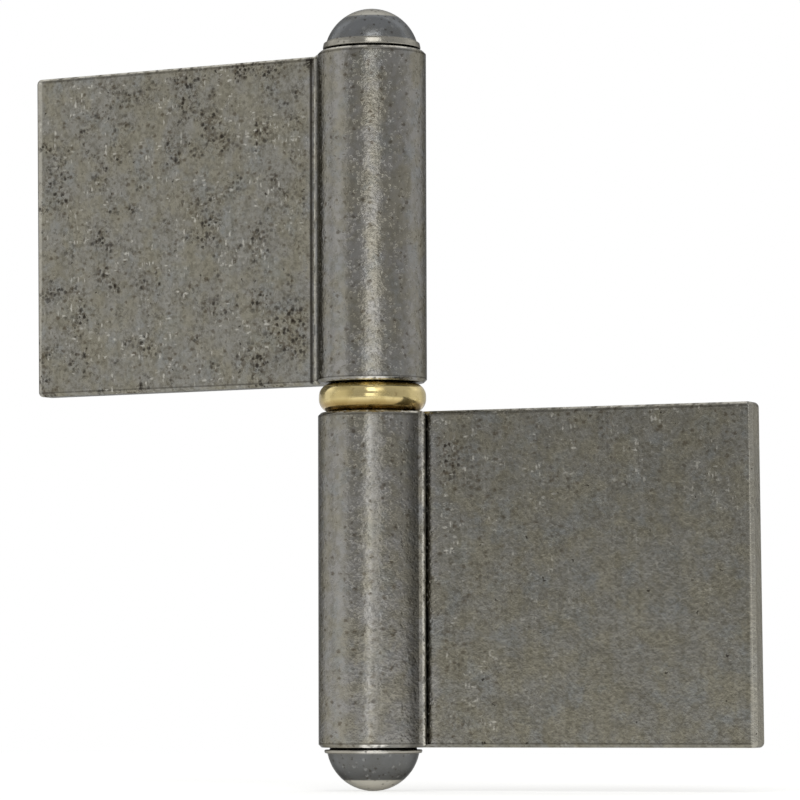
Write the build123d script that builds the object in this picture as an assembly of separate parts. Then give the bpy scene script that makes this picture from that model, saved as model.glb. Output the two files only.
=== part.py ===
from build123d import *
# Weld-on lift-off barrel hinge with two flag leaves, a loose brass ring and domed pin heads.
#
# Each half is one sheared steel sheet whose end is rolled into a knuckle. Both halves are the same
# part, one of them turned over. The frame's Z axis is the hinge line, z = 0 is the bearing face of
# the lower knuckle, and the lower leaf points along +X with its seam side towards -Y.
import os
from math import atan2, cos, degrees, radians, sin, sqrt

# Sheet halves
knuckle_length = 50.0         # height of a knuckle, and of its leaf
sheet_thickness = 3.6
leaf_reach = 60.5             # hinge line to the free end of a leaf, beside the ring
end_runout = 0.45             # the sheared free end is this much out of square, longer at the capped end
leaf_face_setoff = 0.7        # the leaf's seam-side face stands this far in front of the hinge line
joggle_radius = 4.5           # inside radius of the bend that sets the knuckle off from the leaf
seam_start_angle = 34.0       # degrees short of the leaf where the roll runs out straight
seam_gap = 0.3                # crevice between the free end of the roll and the joggle
lip_width = 1.45              # raised lip along the sheared edge that closes the roll, before rounding
lip_rise = 1.15               # the lip stands this far out of the straight free end, before rounding
lip_overhang = 0.93           # and this far past the inner edge of the sheet, before rounding
lip_rounding = 0.5
leaf_corner_radius = 0.8      # corners of the leaf as seen square on
edge_break = 0.45             # broken edges all round the sheet

# Pins
pin_diameter = 9.0            # running part of the hinge pin
running_clearance = 0.08      # radial, upper knuckle and ring on the pin
press_interference = 0.01     # radial, pressed shanks in the knuckles
pin_tip_chamfer = 1.2
plug_shank_length = 9.0       # short shank of the plug that closes the upper knuckle
pin_end_clearance = 3.0       # room between the pin's tip and the plug inside the upper knuckle
plug_tip_chamfer = 0.6

# Domed heads
head_diameter = 14.85
head_height = 6.5             # seat to the top of the dome
pin_rim_height = 0.55
plug_rim_height = 1.0
rim_taper = 0.2               # the rim narrows this much, radially, towards the dome
rim_shoulder = 0.35           # narrow ledge between rim and dome
rim_chamfer = 0.2
groove_height = 0.3           # shadow groove under a head when it is pressed home
groove_depth = 0.9            # from the rim in to the collar that seats on the knuckle

# Ring
ring_inset = 0.13             # radial, the ring stands this far inside the knuckles' outline
ring_thickness = 4.5
ring_rounding = 2.05
ring_bore_chamfer = 0.3

# Pose in which the hinge stands
open_angle = 174.0            # degrees from the lower leaf to the upper leaf about +Z

# Sizes that follow
bore_radius = pin_diameter / 2 + running_clearance
knuckle_radius = bore_radius + sheet_thickness
leaf_back_setoff = sheet_thickness - leaf_face_setoff
joggle_front_radius = joggle_radius + sheet_thickness
joggle_y = leaf_back_setoff + joggle_radius
joggle_x = sqrt((knuckle_radius + joggle_radius) ** 2 - joggle_y ** 2)
joggle_angle = degrees(atan2(joggle_y, joggle_x))
press_radius = bore_radius + press_interference
pin_reach = knuckle_length - plug_shank_length - pin_end_clearance
upper_base = ring_thickness
upper_top = upper_base + knuckle_length


def free_end_length():
    """Straight run of the sheet's inner face from the roll until it would touch the joggle."""
    start_angle = radians(seam_start_angle)
    across_x = bore_radius * cos(start_angle) - joggle_x
    across_y = -bore_radius * sin(start_angle) - joggle_y
    along = across_x * sin(start_angle) + across_y * cos(start_angle)
    off = across_x ** 2 + across_y ** 2 - joggle_front_radius ** 2
    return -along - sqrt(along ** 2 - off) - seam_gap


def sheet_section():
    """Section of one half across the hinge line: flat leaf, joggle, roll, straight free end with its lip."""
    roll_sweep = 360 - seam_start_angle - joggle_angle
    joggle_sweep = 90 - joggle_angle
    onward = Vector(sin(radians(seam_start_angle)), cos(radians(seam_start_angle)))
    outward = Vector(cos(radians(seam_start_angle)), -sin(radians(seam_start_angle)))
    inner_run = free_end_length()
    outer_run = inner_run + lip_overhang - lip_width
    joggle_centre = (joggle_x, joggle_y)
    with BuildSketch() as section:
        with BuildLine():
            back_joggle = CenterArc(joggle_centre, joggle_radius, 270, -joggle_sweep)
            outer_roll = CenterArc((0, 0), knuckle_radius, joggle_angle, roll_sweep)
            outer_end = Line(outer_roll @ 1, (outer_roll @ 1) + onward * outer_run)
            lip = Line(outer_end @ 1, (outer_end @ 1) + onward * lip_width + outward * lip_rise)
            inner_roll = CenterArc((0, 0), bore_radius, joggle_angle, roll_sweep)
            inner_end = Line(inner_roll @ 1, (inner_roll @ 1) + onward * inner_run)
            Line(lip @ 1, inner_end @ 1)
            front_joggle = CenterArc(joggle_centre, joggle_front_radius, 270, -joggle_sweep)
            front = Line(front_joggle @ 0, (leaf_reach + end_runout, -leaf_face_setoff))
            back = Line(back_joggle @ 0, (leaf_reach + end_runout, leaf_back_setoff))
            Line(front @ 1, back @ 1)
        make_face()
        lip_edge = section.vertices().sort_by_distance(lip @ 1)[0]
        fillet(lip_edge, lip_rounding)
    return section.sketch


def end_offcut():
    """What the shear takes off the free end, so that it runs out of square."""
    corners = [
        (leaf_reach, 0),
        (leaf_reach + end_runout, -knuckle_length),
        (leaf_reach + 2 * end_runout, -knuckle_length),
        (leaf_reach + 2 * end_runout, 0),
    ]
    triangle = Plane.XZ * make_face(Polyline(*corners, close=True))
    return extrude(triangle, 2 * knuckle_radius, both=True)


def leaf_corners(half):
    """The two upright corners at the free end of the leaf, seen square on."""
    return half.edges().filter_by(Axis.Y).sort_by(Axis.X)[-2:]


def sheet_half():
    """One half below z = 0: extruded section, rounded leaf corners, broken edges at both ends."""
    half = extrude(Pos(0, 0, -knuckle_length) * sheet_section(), knuckle_length) - end_offcut()
    half = fillet(leaf_corners(half), leaf_corner_radius)
    rims = half.edges().group_by(Axis.Z)
    return chamfer(rims[0] + rims[-1], edge_break)


def head_profile(rim_height):
    """Half section of a domed head with its seat on z = 0: collar, tapered rim, shoulder and dome."""
    rim_radius = head_diameter / 2
    collar_radius = rim_radius - groove_depth
    dome_foot = rim_radius - rim_taper - rim_shoulder
    foot_height = groove_height + rim_height
    dome_height = head_height - foot_height
    sphere_radius = (dome_foot ** 2 + dome_height ** 2) / (2 * dome_height)
    rise = degrees(atan2(sphere_radius - dome_height, dome_foot))
    with BuildSketch(Plane.XZ) as profile:
        with BuildLine():
            seat = Line((0, 0), (collar_radius, 0))
            collar = Line(seat @ 1, (collar_radius, groove_height))
            under = Line(collar @ 1, (rim_radius, groove_height))
            rim = Line(under @ 1, (rim_radius - rim_taper, foot_height))
            Line(rim @ 1, (dome_foot, foot_height))
            dome = CenterArc((0, head_height - sphere_radius), sphere_radius, rise, 90 - rise)
            Line(dome @ 1, seat @ 0)
        make_face()
        chamfer(profile.vertices().sort_by_distance(under @ 1)[0], rim_chamfer)
    return profile.sketch


def domed_head(rim_height):
    """Domed head above z = 0."""
    return revolve(head_profile(rim_height), Axis.Z)


def shank(radius, length, tip_chamfer):
    """Round shank below z = 0, chamfered at its tip."""
    rod = Cylinder(radius, length, align=(Align.CENTER, Align.CENTER, Align.MAX))
    return chamfer(rod.edges().group_by(Axis.Z)[0], tip_chamfer)


def hinge_pin():
    """Pin with its domed head under the lower knuckle, pressed there and running above it."""
    pressed = shank(press_radius, knuckle_length, press_radius - pin_diameter / 2)
    running = shank(pin_diameter / 2, knuckle_length + ring_thickness + pin_reach, pin_tip_chamfer)
    pin = domed_head(pin_rim_height) + pressed + running
    return Pos(0, 0, -knuckle_length) * Rot(180, 0, 0) * pin


def top_plug():
    """Domed plug pressed into the open top of the upper knuckle."""
    plug = domed_head(plug_rim_height) + shank(press_radius, plug_shank_length, plug_tip_chamfer)
    return Pos(0, 0, upper_top) * plug


def brass_ring():
    """Loose bearing ring between the knuckles, turned with full round shoulders."""
    ring_radius = knuckle_radius - ring_inset
    base = (Align.CENTER, Align.CENTER, Align.MIN)
    ring = Cylinder(ring_radius, ring_thickness, align=base)
    ring = fillet(ring.edges().filter_by(GeomType.CIRCLE), ring_rounding)
    ring = ring - Cylinder(bore_radius, ring_thickness, align=base)
    bore_rims = ring.edges().filter_by(GeomType.CIRCLE).filter_by(lambda rim: rim.radius == bore_radius)
    return chamfer(bore_rims, ring_bore_chamfer)


def turned_over(half):
    """The same half as the upper one: turned end for end, lifted onto the ring and swung open."""
    over = Pos(0, 0, upper_base) * Rot(0, 180, 0) * half
    return Rot(0, 0, open_angle - 180) * over


def write(node, solid):
    """Write one node's STEP file."""
    export_step(solid, os.path.join("parts", node + ".step"))


os.makedirs("parts", exist_ok=True)
half = sheet_half()
write("lower_leaf", half)
write("upper_leaf", turned_over(half))
write("hinge_pin", hinge_pin())
write("top_plug", top_plug())
write("brass_ring", brass_ring())
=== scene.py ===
"""Looks for the weld-on barrel hinge: mill-finish sheet halves, smooth pin heads and a turned brass ring.

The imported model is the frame. Its Z axis is the hinge line, the lower leaf points along +X, and
lengths are in metres.
"""
import math

import bmesh
import bpy
from mathutils import Matrix, Vector


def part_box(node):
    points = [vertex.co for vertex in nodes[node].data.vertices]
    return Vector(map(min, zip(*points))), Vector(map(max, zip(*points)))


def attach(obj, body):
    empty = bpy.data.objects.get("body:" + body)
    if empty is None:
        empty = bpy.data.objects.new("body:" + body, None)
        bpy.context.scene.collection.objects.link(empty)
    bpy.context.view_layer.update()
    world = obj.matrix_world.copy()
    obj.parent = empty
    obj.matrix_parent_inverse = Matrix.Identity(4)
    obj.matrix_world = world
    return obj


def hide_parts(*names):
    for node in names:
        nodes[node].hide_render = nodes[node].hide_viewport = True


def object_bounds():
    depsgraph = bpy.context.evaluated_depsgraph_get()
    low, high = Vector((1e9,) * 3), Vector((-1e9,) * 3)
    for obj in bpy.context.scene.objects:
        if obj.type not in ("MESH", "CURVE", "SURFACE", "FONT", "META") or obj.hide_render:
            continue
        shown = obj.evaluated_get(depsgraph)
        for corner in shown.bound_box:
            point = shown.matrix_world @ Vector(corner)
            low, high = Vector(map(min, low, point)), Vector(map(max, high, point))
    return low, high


MM = 0.001

# Camera, which looks at the hinge line from a little below the middle
CAMERA_DISTANCE = 694.0 * MM
CAMERA_AZIMUTH = math.radians(24.6)       # round the hinge line from -Y towards +X
CAMERA_HEIGHT = -43.4 * MM
CAMERA_YAW = math.radians(0.340)
CAMERA_PITCH = math.radians(3.738)
CAMERA_ROLL = math.radians(-0.163)
CAMERA_LENS = 208.7                       # millimetres on a sensor 36 mm wide
SENSOR_WIDTH = 36.0

# Studio
ROOM_LEVEL = 0.5                          # light from the room on matt surfaces, where 1 is white
FRONT_LEVEL = 0.46                        # what the metal sees behind the camera
SIDE_LEVEL = 0.58                         # what it sees beside the hinge
BACKDROP_LEVEL = 1.0                      # and behind the hinge, above and below its own height
FRONT_DEPTH = (-0.8, -0.2)                # the room goes from front to side between these depths,
BACKDROP_DEPTH = (0.2, 0.4)               # the backdrop begins between these,
BACKDROP_RISE = (0.25, 0.5)               # and it is that far above or below the level, as parts of 1
TABLE_SIZE = 0.45                         # half the width of the pale table that the hinge stands on
TABLE_GLOW = 0.51                         # what lifts the table to white for the camera
LAMP_DISTANCE = 1.0
LAMPS = (
    # name, degrees right of the camera, degrees up, width, height, brightness
    ("left_lamp", -73, 0, 0.62, 1.3, 0.36),
    ("left_back_lamp", -112, 0, 0.5, 1.3, 0.3),
    ("front_lamp", -1, 3, 0.5, 0.22, 1.45),
    ("front_top_lamp", 4, 38, 0.5, 0.6, 1.9),
    ("right_lamp", 110, 0, 0.9, 1.2, 0.2),
)

# Corners left by the chamfers are rounded over by this much
SHEET_ROUNDING = 0.22 * MM
RIM_ROUNDING = 0.16 * MM
EDGE_SEGMENTS = 3
EDGE_ANGLE = math.radians(20)             # the facets of the rolled knuckle turn by less than this
MERGE_DISTANCE = 0.001 * MM
FLAT_ANGLE = math.radians(0.2)

RAGGEDNESS = 0.7                          # how far a speck's outline wanders, as a share of the spacing

# Input numbers of the colour form of a Mix node
MIX_SHARE = 0
MIX_UNDER = 6
MIX_OVER = 7

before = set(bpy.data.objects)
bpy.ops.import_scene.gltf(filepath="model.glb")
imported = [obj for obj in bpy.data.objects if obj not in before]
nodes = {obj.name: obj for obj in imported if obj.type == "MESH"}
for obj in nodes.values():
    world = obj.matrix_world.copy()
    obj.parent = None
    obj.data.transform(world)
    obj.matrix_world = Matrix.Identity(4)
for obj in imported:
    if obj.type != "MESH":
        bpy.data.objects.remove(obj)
cad_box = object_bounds()


def heights(node):
    """The lowest and highest height of a carried-over node, in millimetres."""
    low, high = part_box(node)
    return round(low[2] / MM, 2), round(high[2] / MM, 2)


# Heights of the pieces, in millimetres
LOWER_BASE, LOWER_TOP = heights("lower_leaf")
UPPER_BASE, UPPER_TOP = heights("upper_leaf")
PIN_BASE = heights("hinge_pin")[0]
PLUG_TOP = heights("top_plug")[1]

# Places in the frame, in millimetres: points, heights and reaches
HINGE_LINE = (0, 0, 0)
KNUCKLE_REACH = 12.0                      # the knuckles' finish gives way to the leaves' this far out
KNUCKLE_CORE = 0.85
RING_SPAN = (LOWER_TOP + 3.0, LOWER_TOP + 2.0)  # the lower half lies below these heights
LOWER_SEAM_RUST = (12, -1, LOWER_TOP - 7)
UPPER_END_RUST = (-13.5, 1, UPPER_BASE + 8.5)
UPPER_TOP_PITS = (-10.7, 0.4, UPPER_TOP - 0.9)
CLEANER_CORNER = (45, -1, LOWER_BASE + 12)  # the lower leaf is cleaner there
UPPER_SEAM_SHADE = (-10.3, 0.38, 0)       # painted shade in the crevice where the upper leaf meets its knuckle's lip
LOWER_LIP_SHADE = (7.8, -2.4, 0)          # painted shade in the crevice beside the lower knuckle's lip
LOWER_DARK_REFLECTION = (3.8, -7.25, 0)            # a painted dark reflection in a streak along the front of the lower knuckle
LOWER_LIP_HIGHLIGHT = (9.3, -1.85, 0)          # the lip crests carry a painted highlight
UPPER_LIP_HIGHLIGHT = (-9.3, -0.75, 0)
SHEET_TOPS = (LOWER_TOP, UPPER_TOP)       # the upper ends of both halves have a bright edge, partly wear and partly painted highlight
WORN_AND_LIT_EDGE = 0.34
EDGE_INSET = 0.58                         # just inside each sheared end a dark line of painted shade is drawn
EDGE_SHADE_LINES = (
    LOWER_BASE + EDGE_INSET,
    LOWER_TOP - EDGE_INSET,
    UPPER_BASE + EDGE_INSET,
    UPPER_TOP - EDGE_INSET,
)
EDGE_SHADE_WIDTH = 0.15
LOW_RIM_HIGHLIGHT_SPOTS = (                          # the low rims of the knuckles carry a painted highlight in front
    (3.4, -7.3, LOWER_BASE + 0.2),
    (3.4, -7.3, UPPER_BASE + 0.2),
)
LOW_RIM_HIGHLIGHT_REACH = 2.6
LOW_RIM_HIGHLIGHT_EDGE = 0.3
PIN_RIM_HIGHLIGHT = (3.1, -6.7, LOWER_BASE - 0.7)  # and so does the rim of the lower head
LOWER_END_HIGHLIGHT = 59.9                     # the free ends of the leaves carry a painted highlight from here on
UPPER_END_HIGHLIGHT = -59.3
END_HIGHLIGHT_EDGE = 0.3
HEAD_SEATS = (LOWER_BASE, UPPER_TOP)      # the ends of the knuckles that the heads sit on
SEAT_REACH = 7.3
# painted black shade where the heads sit on the knuckle ends reaches this far either side
SEAT_SHADE = 0.1
GROOVE_SHADE = 0.45                       # painted black shade in the groove under a head
TOP_CROWN_REFLECTION = PLUG_TOP - 1.6                # the crowns of the heads are painted bright past these heights, a painted reflection of the pale backdrop and table
LOW_CROWN_REFLECTION = PIN_BASE + 1.8
CROWN_EDGE = 0.25
LOW_HEAD = (LOWER_BASE, LOWER_BASE - 1.0)  # the lower head is painted darker below these heights, a painted dark reflection,
LOW_DOME_SHADE = (LOWER_BASE - 2.2, LOW_CROWN_REFLECTION)  # and darker still towards its crown, more painted dark reflection
TOP_RIM = (UPPER_TOP - 0.3, UPPER_TOP - 0.1, UPPER_TOP + 1.6)  # the rims are painted paler up to the last height, partly their own tone and partly a painted highlight
LOW_RIM = (LOWER_BASE + 0.3, LOWER_BASE + 0.1, LOWER_BASE - 1.0)
RING_UNDERSIDE = LOWER_TOP + 1.9          # the ring is painted a darker brown below half of this


def srgb(text):
    """An sRGB hex colour as the linear colour that a shader socket takes."""
    parts = [int(text[i:i + 2], 16) / 255 for i in (1, 3, 5)]
    linear = [c / 12.92 if c <= 0.04045 else ((c + 0.055) / 1.055) ** 2.4 for c in parts]
    return (*linear, 1.0)


def add(tree, kind, settings=None, links=None):
    """Adds a node to a tree. Settings name its properties and inputs, and links join inputs to outputs."""
    node = tree.nodes.new(kind)
    for name, value in (settings or {}).items():
        if isinstance(name, str) and hasattr(node, name):
            setattr(node, name, value)
        else:
            node.inputs[name].default_value = value
    for name, output in (links or {}).items():
        tree.links.new(output, node.inputs[name])
    return node


def new_material(name):
    """A material with an empty tree but for its output, and the coordinates its patterns read."""
    material = bpy.data.materials.new(name)
    material.use_nodes = True
    tree = material.node_tree
    tree.nodes.clear()
    coords = add(tree, "ShaderNodeTexCoord").outputs["Object"]
    output = add(tree, "ShaderNodeOutputMaterial")
    return material, tree, coords, output


def patches(tree, coords, size, low, high, stretch=(1, 1, 1), offset=(0, 0, 0), detail=3.0):
    """A mask of soft-edged patches about size millimetres wide, drawn out by stretch. It is 0 where its noise
    is below low and 1 where it is above high."""
    per_metre = 1000 / size
    place = add(
        tree,
        "ShaderNodeMapping",
        {"Scale": [per_metre / s for s in stretch], "Location": offset},
        {"Vector": coords},
    )
    noise = add(
        tree,
        "ShaderNodeTexNoise",
        {"Scale": 1.0, "Detail": detail, "Roughness": 0.6},
        {"Vector": place.outputs[0]},
    )
    mask = add(
        tree,
        "ShaderNodeMapRange",
        {"interpolation_type": "SMOOTHSTEP", "From Min": low, "From Max": high},
        {"Value": noise.outputs["Fac"]},
    )
    return mask.outputs["Result"]


def specks(tree, coords, spacing, reach, stretch=(1, 1, 1), offset=(0, 0, 0)):
    """A mask of separate ragged specks, spacing millimetres apart on average. The largest reach as far as the
    share reach of the spacing, and stretch draws them out."""
    per_metre = 1000 / spacing
    place = add(
        tree,
        "ShaderNodeMapping",
        {"Scale": [per_metre / s for s in stretch], "Location": offset},
        {"Vector": coords},
    )
    rag = add(tree, "ShaderNodeTexNoise", {"Scale": 3.0, "Detail": 3.0}, {"Vector": place.outputs[0]})
    ragged = add(
        tree,
        "ShaderNodeVectorMath",
        {"operation": "MULTIPLY_ADD", 1: (RAGGEDNESS,) * 3},
        {0: rag.outputs["Color"], 2: place.outputs[0]},
    )
    cells = add(tree, "ShaderNodeTexVoronoi", {"Scale": 1.0}, {"Vector": ragged.outputs[0]})
    chance = add(tree, "ShaderNodeSeparateColor", {}, {0: cells.outputs["Color"]}).outputs[0]
    away = add(tree, "ShaderNodeMath", {"operation": "DIVIDE"}, {0: cells.outputs["Distance"], 1: chance})
    mask = add(
        tree,
        "ShaderNodeMapRange",
        {"interpolation_type": "SMOOTHSTEP", "From Min": reach, "From Max": 0.4 * reach},
        {"Value": away.outputs[0]},
    )
    return mask.outputs["Result"]


def around(tree, coords, spot, reach, core=0.3, upright=1.0):
    """A mask that is 1 round a spot in the frame and falls to 0 at reach from it, both in millimetres. Its
    core is the share of reach where it is still 1, and with upright at 0 it holds all along Z."""
    point = Vector(spot) * MM
    place = add(tree, "ShaderNodeMapping", {"Scale": (1, 1, upright)}, {"Vector": coords})
    away = add(tree, "ShaderNodeVectorMath", {"operation": "DISTANCE", 1: point}, {0: place.outputs[0]})
    settings = {"interpolation_type": "SMOOTHSTEP", "From Min": reach * MM, "From Max": core * reach * MM}
    near = add(tree, "ShaderNodeMapRange", settings, {"Value": away.outputs["Value"]})
    return near.outputs["Result"]


def level(tree, coords, start, end, axis="Z"):
    """A mask that goes from 0 at one height to 1 at another, both in millimetres in the frame. It can run
    along another axis."""
    height = add(tree, "ShaderNodeSeparateXYZ", {}, {0: coords}).outputs[axis]
    settings = {"interpolation_type": "SMOOTHSTEP", "From Min": start * MM, "From Max": end * MM}
    mask = add(tree, "ShaderNodeMapRange", settings, {"Value": height})
    return mask.outputs["Result"]


def bands(tree, coords, heights, reach):
    """A mask of level bands that reach so many millimetres to either side of each of the heights."""
    largest = None
    height = add(tree, "ShaderNodeSeparateXYZ", {}, {0: coords}).outputs["Z"]
    for middle in heights:
        off = add(tree, "ShaderNodeMath", {"operation": "SUBTRACT", 1: middle * MM}, {0: height}).outputs[0]
        away = add(tree, "ShaderNodeMath", {"operation": "ABSOLUTE"}, {0: off}).outputs[0]
        settings = {"interpolation_type": "SMOOTHSTEP", "From Min": reach * MM, "From Max": 0.7 * reach * MM}
        band = add(tree, "ShaderNodeMapRange", settings, {"Value": away}).outputs["Result"]
        largest = band if largest is None else either(tree, largest, band)
    return largest


def both(tree, *masks):
    """Where all of the masks are."""
    product = masks[0]
    for mask in masks[1:]:
        product = add(tree, "ShaderNodeMath", {"operation": "MULTIPLY"}, {0: product, 1: mask}).outputs[0]
    return product


def either(tree, *masks):
    """Where any of the masks is."""
    largest = masks[0]
    for mask in masks[1:]:
        largest = add(tree, "ShaderNodeMath", {"operation": "MAXIMUM"}, {0: largest, 1: mask}).outputs[0]
    return largest


def layered(tree, base, layers):
    """A colour with others laid over it in turn. A layer is a mask, how much of it covers, and its colour."""
    under = None
    for mask, cover, colour in layers:
        share = add(tree, "ShaderNodeMath", {"operation": "MULTIPLY", 1: cover}, {0: mask}).outputs[0]
        mix = add(tree, "ShaderNodeMix", {"data_type": "RGBA", MIX_OVER: srgb(colour)}, {MIX_SHARE: share})
        if under is None:
            mix.inputs[MIX_UNDER].default_value = srgb(base)
        else:
            tree.links.new(under, mix.inputs[MIX_UNDER])
        under = mix.outputs[2]
    return under


def relief(tree, heights):
    """Surface direction of a relief. Each part of it is a mask and its height in millimetres."""
    total = None
    for mask, height in heights:
        step = add(tree, "ShaderNodeMath", {"operation": "MULTIPLY_ADD", 1: height, 2: 0.0}, {0: mask})
        if total is not None:
            tree.links.new(total, step.inputs[2])
        total = step.outputs[0]
    bump = add(tree, "ShaderNodeBump", {"Distance": MM, "Strength": 1.0}, {"Height": total})
    return bump.outputs[0]


def finish(tree, output, settings, links):
    """Ends a material with its shader."""
    shader = add(tree, "ShaderNodeBsdfPrincipled", settings, links)
    tree.links.new(shader.outputs[0], output.inputs["Surface"])


def mill_steel(name):
    """Hot-rolled sheet, rolled into its knuckle, tumbled and left bare. The eye gets a cloudy grey, olive in
    places and blue in others, faint streaks along the knuckle, brown rust in clusters of fine spots with dark
    pits and bright flecks, bright upper edges that are partly wear and partly painted highlight, a painted
    shade line just inside each sheared end, painted highlights on the free ends, the lip crests and the
    fronts of the low rims, painted shade in the crevices by the lip and where the heads sit, a painted dark
    reflection along the front of the lower knuckle, and a crinkled, dimpled skin that breaks a highlight into
    sparks."""
    material, tree, coords, output = new_material(name)
    knuckle = around(tree, coords, HINGE_LINE, KNUCKLE_REACH, core=KNUCKLE_CORE, upright=0)
    leaf = add(tree, "ShaderNodeMath", {"operation": "SUBTRACT", 0: 1.0}, {1: knuckle}).outputs[0]
    lower = level(tree, coords, *RING_SPAN)
    olive = patches(tree, coords, 5.0, 0.42, 0.60, offset=(3, 1, 7), detail=5.0)
    blue = patches(tree, coords, 4.0, 0.50, 0.66, offset=(9, 4, 1), detail=5.0)
    mottle = patches(tree, coords, 1.2, 0.42, 0.62, offset=(2, 8, 5), detail=5.0)
    streaks = patches(tree, coords, 1.1, 0.36, 0.68, stretch=(1, 1, 12), offset=(5, 5, 5), detail=2.0)
    grains = both(tree, patches(tree, coords, 0.6, 0.50, 0.60, offset=(7, 2, 3)), leaf)
    # rust grows in clusters a few millimetres wide, each made of spots under a millimetre
    clusters = patches(tree, coords, 4.5, 0.46, 0.64, offset=(11, 5, 2), detail=5.0)
    seam_rust = around(tree, coords, LOWER_SEAM_RUST, 6)
    end_rust = around(tree, coords, UPPER_END_RUST, 8)
    clean = around(tree, coords, CLEANER_CORNER, 40, core=0.2)
    dirty = add(tree, "ShaderNodeMath", {"operation": "MULTIPLY_ADD", 1: -0.8, 2: 1.0}, {0: clean}).outputs[0]
    fewer = add(tree, "ShaderNodeMath", {"operation": "MULTIPLY_ADD", 1: -0.45, 2: 1.0}, {0: lower})
    sparse = both(tree, clusters, fewer.outputs[0])
    clusters = both(tree, either(tree, sparse, seam_rust, end_rust), leaf, dirty)
    rust = both(tree, clusters, patches(tree, coords, 0.65, 0.50, 0.60, offset=(5, 9, 4), detail=4.0))
    pits = both(tree, clusters, specks(tree, coords, 0.7, 0.78, offset=(2, 2, 8)))
    pin_holes = both(tree, specks(tree, coords, 2.4, 0.15, offset=(5, 1, 2)), leaf)
    top_pits = both(
        tree,
        around(tree, coords, UPPER_TOP_PITS, 1.4),
        patches(tree, coords, 0.6, 0.44, 0.52, offset=(1, 1, 5)),
    )
    holes = either(tree, pits, pin_holes, top_pits)
    loose_spots = both(tree, specks(tree, coords, 1.0, 0.45, stretch=(1.3, 1, 1), offset=(1, 6, 9)), dirty)
    seam_shade = around(tree, coords, UPPER_SEAM_SHADE, 0.4, core=0.3, upright=0)
    lip_shade = both(tree, around(tree, coords, LOWER_LIP_SHADE, 2.0, core=0.2, upright=0), lower)
    dark_reflection_streak = both(tree, around(tree, coords, LOWER_DARK_REFLECTION, 0.9, upright=0), lower)
    flecked = patches(tree, coords, 5.0, 0.46, 0.60, offset=(8, 3, 6))
    upright_flecks = specks(tree, coords, 0.9, 0.42, stretch=(0.7, 0.7, 1.6), offset=(4, 7, 1))
    level_flecks = specks(tree, coords, 1.0, 0.38, stretch=(1.6, 1.6, 0.7), offset=(2, 6, 3))
    flecks = both(tree, either(tree, upright_flecks, level_flecks), flecked, leaf, dirty)
    # the bright upper edges, partly wear and partly painted highlight, and the painted highlights on the low
    # rims and the lip crests are broken up by this
    broken = patches(tree, coords, 1.6, 0.34, 0.58, offset=(6, 2, 9), detail=4.0)
    # bright upper ends of both halves, partly wear and partly painted highlight
    edges = both(tree, bands(tree, coords, SHEET_TOPS, WORN_AND_LIT_EDGE), broken)
    # painted highlight on the fronts of the low rims
    rim_highlight_spots = either(tree, *[around(tree, coords, spot, LOW_RIM_HIGHLIGHT_REACH, core=0.5) for spot in LOW_RIM_HIGHLIGHT_SPOTS])
    rim_highlight_heights = [spot[2] for spot in LOW_RIM_HIGHLIGHT_SPOTS]
    low_rim_highlights = both(tree, rim_highlight_spots, broken, bands(tree, coords, rim_highlight_heights, LOW_RIM_HIGHLIGHT_EDGE))
    edge_shade_lines = bands(tree, coords, EDGE_SHADE_LINES, EDGE_SHADE_WIDTH)
    end_highlights = either(
        tree,
        level(tree, coords, LOWER_END_HIGHLIGHT, LOWER_END_HIGHLIGHT + END_HIGHLIGHT_EDGE, axis="X"),
        level(tree, coords, UPPER_END_HIGHLIGHT, UPPER_END_HIGHLIGHT - END_HIGHLIGHT_EDGE, axis="X"),
    )
    lip_highlights = either(
        tree,
        both(tree, around(tree, coords, LOWER_LIP_HIGHLIGHT, 0.45, upright=0), lower),
        around(tree, coords, UPPER_LIP_HIGHLIGHT, 0.65, upright=0),
    )
    under_heads = around(tree, coords, HINGE_LINE, SEAT_REACH, core=0.93, upright=0)
    seat_shade = both(tree, bands(tree, coords, HEAD_SEATS, SEAT_SHADE), under_heads)
    colour = layered(
        tree,
        "#92908C",
        [
            (leaf, 0.55, "#858379"),
            (both(tree, leaf, lower), 0.30, "#73726B"),
            (olive, 0.42, "#8D866D"),
            (blue, 0.34, "#858B8E"),
            (mottle, 0.42, "#6F6B5D"),
            (streaks, 0.16, "#A3A19A"),
            (grains, 0.40, "#5B574C"),
            (rust, 0.50, "#463825"),
            (loose_spots, 0.6, "#4A4031"),
            # painted shade in the crevice beside the lower knuckle's lip
            (lip_shade, 0.60, "#3A3833"),
            # painted dark reflection along the front of the lower knuckle
            (dark_reflection_streak, 0.5, "#66645F"),
            # painted shade line just inside each sheared end
            (edge_shade_lines, 0.45, "#3E3A33"),
            # bright upper ends, partly wear and partly painted highlight
            (edges, 0.75, "#EAE6DA"),
            # painted highlight on the fronts of the low rims
            (low_rim_highlights, 0.9, "#F4F1EA"),
            # painted highlight along the free ends of the leaves
            (end_highlights, 0.45, "#C9C5B9"),
            # painted highlight along the lip crests
            (both(tree, lip_highlights, broken), 0.85, "#E2DED2"),
            (holes, 0.84, "#1E1710"),
            # painted shade in the crevice where the upper leaf meets its knuckle's lip
            (seam_shade, 0.85, "#1E1A14"),
            (flecks, 0.50, "#DEDBD1"),
            # painted black shade where the heads sit on the knuckle ends
            (seat_shade, 0.95, "#0A0908"),
        ],
    )
    worn = either(tree, rust, holes)
    smooth = add(tree, "ShaderNodeMapRange", {"To Min": 0.25, "To Max": 0.18}, {"Value": knuckle}).outputs[0]
    rough = add(tree, "ShaderNodeMapRange", {"To Max": 0.5}, {"Value": worn, "To Min": smooth})
    metal = add(tree, "ShaderNodeMapRange", {"To Min": 1.0, "To Max": 0.7}, {"Value": worn})
    crinkle = patches(tree, coords, 0.6, 0.2, 0.8, offset=(1, 4, 3))
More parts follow.
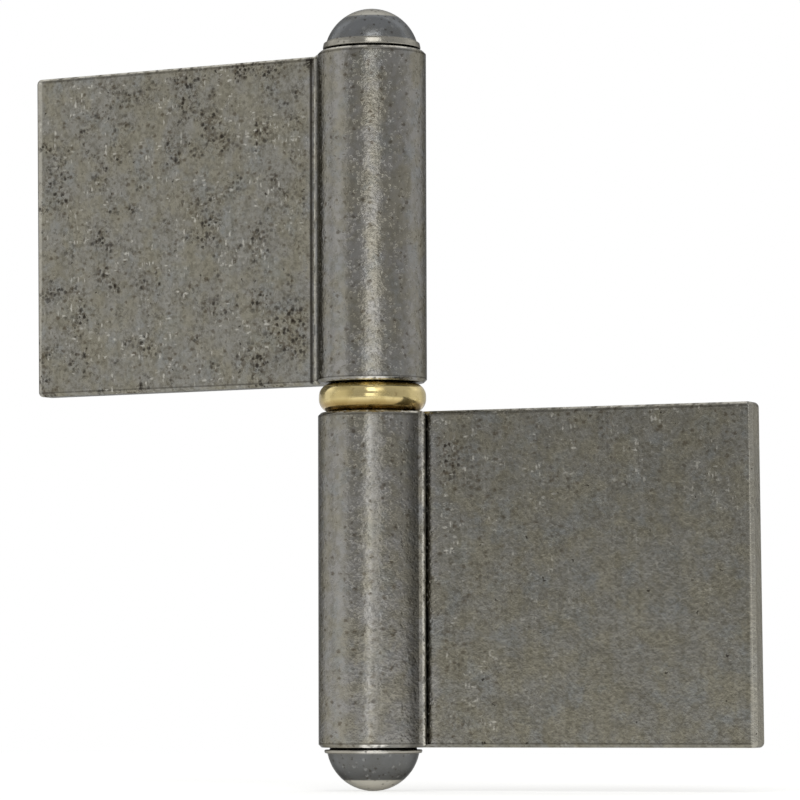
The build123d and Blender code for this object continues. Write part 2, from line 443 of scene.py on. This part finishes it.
    swell = patches(tree, coords, 4.0, 0.2, 0.8, detail=1.0)
    dimples = both(tree, specks(tree, coords, 0.6, 0.6, offset=(3, 8, 8)), knuckle)
    normal = relief(
        tree,
        [
            (crinkle, 0.026),
            (swell, 0.04),
            (dimples, -0.035),
            (rust, -0.012),
            (holes, -0.03),
            (flecks, 0.006),
        ],
    )
    finish(
        tree,
        output,
        {"Specular Tint": (0.35, 0.35, 0.35, 1)},
        {
            "Base Color": colour,
            "Roughness": rough.outputs[0],
            "Metallic": metal.outputs[0],
            "Normal": normal,
        },
    )
    return material


def formed_steel(name):
    """Cold-formed pin steel. The eye gets a smoother, bluer grey than the sheet's, with small scuffs and
    brown pores, a painted reflection on the crown of each head, paler rims that are partly their own tone and
    partly painted highlight, a painted dark reflection over the lower head, and painted black shade in the
    groove under each head."""
    material, tree, coords, output = new_material(name)
    clouds = patches(tree, coords, 2.6, 0.38, 0.66)
    scuffs = specks(tree, coords, 0.9, 0.45, offset=(4, 4, 1))
    pores = specks(tree, coords, 0.8, 0.42, offset=(1, 7, 3))
    pin_rim_highlight = around(tree, coords, PIN_RIM_HIGHLIGHT, 3.2, core=0.3)
    groove_shade = bands(tree, coords, HEAD_SEATS, GROOVE_SHADE)
    low_dome_shade = level(tree, coords, *LOW_DOME_SHADE)
    low_head = level(tree, coords, *LOW_HEAD)
    crown_reflections = either(
        tree,
        level(tree, coords, TOP_CROWN_REFLECTION, TOP_CROWN_REFLECTION + CROWN_EDGE),
        level(tree, coords, LOW_CROWN_REFLECTION, LOW_CROWN_REFLECTION - CROWN_EDGE),
    )
    rims = either(
        tree,
        both(
            tree,
            level(tree, coords, TOP_RIM[2], TOP_RIM[2] - CROWN_EDGE),
            level(tree, coords, TOP_RIM[0], TOP_RIM[1]),
        ),
        both(
            tree,
            level(tree, coords, LOW_RIM[2], LOW_RIM[2] + CROWN_EDGE),
            level(tree, coords, LOW_RIM[0], LOW_RIM[1]),
        ),
    )
    colour = layered(
        tree,
        "#7E8082",
        [
            (clouds, 0.5, "#6C6B66"),
            # painted dark reflection over the lower head
            (low_head, 0.5, "#5A5955"),
            # more painted dark reflection towards the lower crown
            (low_dome_shade, 0.6, "#454441"),
            # paler rims: their own tone with a painted highlight
            (rims, 0.70, "#B0AB9E"),
            # painted highlight on the front of the lower head's rim
            (both(tree, rims, pin_rim_highlight, low_head), 0.8, "#F4F1EA"),
            # painted reflection of the pale backdrop and table on the crowns
            (crown_reflections, 0.75, "#C9C5B9"),
            (scuffs, 0.35, "#A9A9A6"),
            (pores, 0.6, "#3C352C"),
            # painted black shade in the groove under each head
            (groove_shade, 0.95, "#0A0908"),
        ],
    )
    rough = add(tree, "ShaderNodeMapRange", {"To Min": 0.17, "To Max": 0.28}, {"Value": clouds})
    crinkle = patches(tree, coords, 0.6, 0.2, 0.8, offset=(2, 2, 2))
    normal = relief(tree, [(crinkle, 0.012), (pores, -0.01)])
    finish(
        tree,
        output,
        {"Metallic": 1.0, "Specular Tint": (0.4, 0.4, 0.4, 1)},
        {"Base Color": colour, "Roughness": rough.outputs[0], "Normal": normal},
    )
    return material


def turned_brass(name):
    """Turned brass, handled and partly dull. The eye gets a pale yellow with sharp highlights, fine tool
    lines round it, thin brown tarnish in patches, and a darker brown towards its underside."""
    material, tree, coords, output = new_material(name)
    dull = patches(tree, coords, 3.2, 0.46, 0.62, offset=(6, 2, 5))
    brown = patches(tree, coords, 1.6, 0.60, 0.72, offset=(3, 3, 9))
    under = level(tree, coords, RING_UNDERSIDE, 0.5 * RING_UNDERSIDE)
    # tool lines are a tenth of this apart on the real ring
    lines = patches(tree, coords, 0.35, 0.35, 0.65, stretch=(60, 60, 1), detail=1.0)
    colour = layered(
        tree,
        "#D6C48E",
        [
            (dull, 0.45, "#AE9A5E"),
            (brown, 0.5, "#8A6E3C"),
            (lines, 0.2, "#DCCB97"),
            # darker brown towards the underside of the ring
            (under, 0.75, "#806430"),
        ],
    )
    rough = add(tree, "ShaderNodeMapRange", {"To Min": 0.14, "To Max": 0.3}, {"Value": dull})
    normal = relief(tree, [(lines, 0.004)])
    finish(
        tree,
        output,
        {"Metallic": 1.0},
        {"Base Color": colour, "Roughness": rough.outputs[0], "Normal": normal},
    )
    return material


def give(material, names):
    """Puts a material on carried-over nodes."""
    for name in names:
        node = nodes[name]
        node.data.materials.clear()
        node.data.materials.append(material)


def rounded_copy(name, node, body, material, rounding, flat_faces):
    """A carried-over node with the corners of its chamfers rounded over. With flat faces, those keep an even
    shade right up to the rounding."""
    mesh = nodes[node].data.copy()
    mesh.name = name
    shape = bmesh.new()
    shape.from_mesh(mesh)
    bmesh.ops.remove_doubles(shape, verts=shape.verts, dist=MERGE_DISTANCE)
    bmesh.ops.dissolve_limit(shape, angle_limit=FLAT_ANGLE, verts=shape.verts, edges=shape.edges)
    for face in shape.faces:
        face.smooth = True
    shape.to_mesh(mesh)
    shape.free()
    if "custom_normal" in mesh.attributes:
        mesh.attributes.remove(mesh.attributes["custom_normal"])
    mesh.materials.clear()
    mesh.materials.append(material)
    copy = bpy.data.objects.new(name, mesh)
    bpy.context.scene.collection.objects.link(copy)
    edges = copy.modifiers.new("edges", "BEVEL")
    edges.width = rounding
    edges.segments = EDGE_SEGMENTS
    edges.limit_method = "ANGLE"
    edges.angle_limit = EDGE_ANGLE
    if flat_faces:
        shade = copy.modifiers.new("shade", "WEIGHTED_NORMAL")
        shade.keep_sharp = True
    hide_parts(node)
    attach(copy, body)
    return copy


def make_camera():
    """The camera at the height and angle of the view that the hinge is shown in."""
    data = bpy.data.cameras.new("camera")
    data.lens = CAMERA_LENS
    data.sensor_width = SENSOR_WIDTH
    data.clip_start = 0.05
    data.clip_end = 20.0
    camera = bpy.data.objects.new("camera", data)
    bpy.context.scene.collection.objects.link(camera)
    place = Vector((math.sin(CAMERA_AZIMUTH), -math.cos(CAMERA_AZIMUTH), 0)) * CAMERA_DISTANCE
    place.z = CAMERA_HEIGHT
    turn = Matrix.Rotation(CAMERA_AZIMUTH - CAMERA_YAW, 4, "Z")
    pitch = Matrix.Rotation(math.pi / 2 + CAMERA_PITCH, 4, "X")
    roll = Matrix.Rotation(CAMERA_ROLL, 4, "Z")
    camera.matrix_world = Matrix.Translation(place) @ turn @ pitch @ roll
    bpy.context.scene.camera = camera
    return camera


def lamp(name, turn, rise, width, height, brightness):
    """A soft lamp turn degrees right of the camera and rise degrees up, facing the hinge. Its brightness is
    how it looks in a mirror, where 1 is white."""
    data = bpy.data.lights.new(name, "AREA")
    data.shape = "RECTANGLE"
    data.size = width
    data.size_y = height
    data.energy = brightness * math.pi * width * height
    panel = bpy.data.objects.new(name, data)
    bpy.context.scene.collection.objects.link(panel)
    bearing = CAMERA_AZIMUTH + math.radians(turn)
    up = math.radians(rise)
    toward = Vector((math.sin(bearing) * math.cos(up), -math.cos(bearing) * math.cos(up), math.sin(up)))
    panel.location = toward * LAMP_DISTANCE
    panel.rotation_euler = (-toward).to_track_quat("-Z", "Y").to_euler()
    return panel


def make_world():
    """A pale room. The camera sees white. The metal sees a dimmer room in front and beside it, and a white
    backdrop behind it, but not at its own height."""
    world = bpy.data.worlds.new("room")
    bpy.context.scene.world = world
    world.use_nodes = True
    tree = world.node_tree
    tree.nodes.clear()
    toward = add(tree, "ShaderNodeTexCoord").outputs["Generated"]
    back = (-math.sin(CAMERA_AZIMUTH), math.cos(CAMERA_AZIMUTH), 0)
    along = add(tree, "ShaderNodeVectorMath", {"operation": "DOT_PRODUCT", 1: back}, {0: toward})
    depth = along.outputs["Value"]
    parts = add(tree, "ShaderNodeSeparateXYZ", {}, {0: toward})
    rise = add(tree, "ShaderNodeMath", {"operation": "ABSOLUTE"}, {0: parts.outputs["Z"]}).outputs[0]
    room = add(
        tree,
        "ShaderNodeMapRange",
        {"From Min": FRONT_DEPTH[0], "From Max": FRONT_DEPTH[1], "To Min": FRONT_LEVEL, "To Max": SIDE_LEVEL},
        {"Value": depth},
    ).outputs[0]
    behind = add(
        tree,
        "ShaderNodeMapRange",
        {
            "interpolation_type": "SMOOTHSTEP",
            "From Min": BACKDROP_DEPTH[0],
            "From Max": BACKDROP_DEPTH[1],
        },
        {"Value": depth},
    ).outputs[0]
    clear = add(
        tree,
        "ShaderNodeMapRange",
        {
            "interpolation_type": "SMOOTHSTEP",
            "From Min": BACKDROP_RISE[0],
            "From Max": BACKDROP_RISE[1],
        },
        {"Value": rise},
    ).outputs[0]
    backdrop = both(tree, behind, clear)
    glossy = add(tree, "ShaderNodeMix", {"B": BACKDROP_LEVEL}, {"Factor": backdrop, "A": room}).outputs[0]
    path = add(tree, "ShaderNodeLightPath")
    seen = either(tree, path.outputs["Is Camera Ray"], path.outputs["Is Transmission Ray"])
    mirrored = path.outputs["Is Glossy Ray"]
    unseen = add(tree, "ShaderNodeMix", {"A": ROOM_LEVEL}, {"Factor": mirrored, "B": glossy}).outputs[0]
    strength = add(tree, "ShaderNodeMix", {"B": 1.0}, {"Factor": seen, "A": unseen}).outputs[0]
    light = add(tree, "ShaderNodeBackground", {"Color": (1, 1, 1, 1)}, {"Strength": strength})
    add(tree, "ShaderNodeOutputWorld", {}, {"Surface": light.outputs[0]})


def make_floor():
    """The plain pale table under the lower head. It keeps the hinge's shadow and is white to the camera."""
    mesh = bpy.data.meshes.new("floor")
    shape = bmesh.new()
    bmesh.ops.create_grid(shape, x_segments=1, y_segments=1, size=TABLE_SIZE)
    bmesh.ops.translate(shape, verts=shape.verts, vec=(0, 0, cad_box[0][2]))
    shape.to_mesh(mesh)
    shape.free()
    floor = bpy.data.objects.new("floor", mesh)
    bpy.context.scene.collection.objects.link(floor)
    material, tree, _, output = new_material("pale_floor")
    matt = add(tree, "ShaderNodeBsdfDiffuse", {"Color": srgb("#F4F4F2")})
    path = add(tree, "ShaderNodeLightPath")
    seen = either(tree, path.outputs["Is Camera Ray"], path.outputs["Is Glossy Ray"])
    strength = add(tree, "ShaderNodeMath", {"operation": "MULTIPLY", 1: TABLE_GLOW}, {0: seen})
    glow = add(tree, "ShaderNodeEmission", {"Color": (1, 1, 1, 1)}, {"Strength": strength.outputs[0]})
    pale = add(tree, "ShaderNodeAddShader", {}, {0: matt.outputs[0], 1: glow.outputs[0]})
    tree.links.new(pale.outputs[0], output.inputs["Surface"])
    mesh.materials.append(material)
    return floor


sheet_steel = mill_steel("mill_steel")
pin_steel = formed_steel("formed_steel")
give(turned_brass("turned_brass"), ["brass_ring"])
rounded_copy("lower_sheet_half", "lower_leaf", "lower_half", sheet_steel, SHEET_ROUNDING, True)
rounded_copy("upper_sheet_half", "upper_leaf", "upper_half", sheet_steel, SHEET_ROUNDING, True)
rounded_copy("domed_hinge_pin", "hinge_pin", "lower_half", pin_steel, RIM_ROUNDING, False)
rounded_copy("domed_top_plug", "top_plug", "upper_half", pin_steel, RIM_ROUNDING, False)
make_camera()
make_world()
for settings in LAMPS:
    lamp(*settings)
make_floor()
bpy.context.scene.view_settings.view_transform = "Standard"
